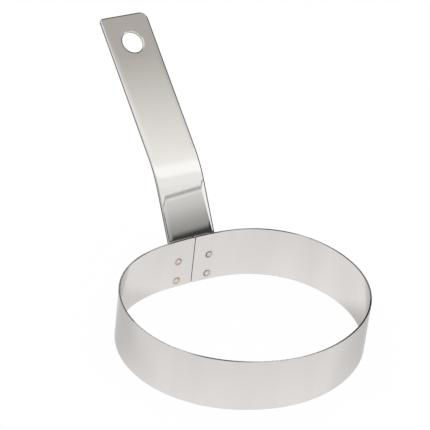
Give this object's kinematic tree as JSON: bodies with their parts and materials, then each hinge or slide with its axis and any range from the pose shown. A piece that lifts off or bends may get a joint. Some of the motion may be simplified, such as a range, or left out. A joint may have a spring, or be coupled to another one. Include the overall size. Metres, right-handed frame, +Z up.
{
  "type": "egg ring",
  "caption": "Stainless steel egg ring: a low round band that stands on a griddle, with a flat bent handle spot-welded over the band's seam and a hang hole at its end.",
  "frame": {"origin": "on the plane that the band stands on, under the centre of the whole part's box", "axes": "+Z up out of the ring, +Y from the ring towards the handle's end, +X to the right for someone who looks from the ring towards the handle"},
  "size_m": [0.116, 0.179, 0.1021],
  "materials": {
    "band_steel": "satin rolled sheet",
    "handle_steel": "bright polished strip",
    "weld_metal": "straw to brown heat tint"
  },
  "bodies": {
    "root": {"ring_band": "band_steel", "handle": "handle_steel", "spot_weld_lower_left": "weld_metal", "spot_weld_lower_right": "weld_metal", "spot_weld_upper_left": "weld_metal", "spot_weld_upper_right": "weld_metal"}
  },
  "joints": []
}
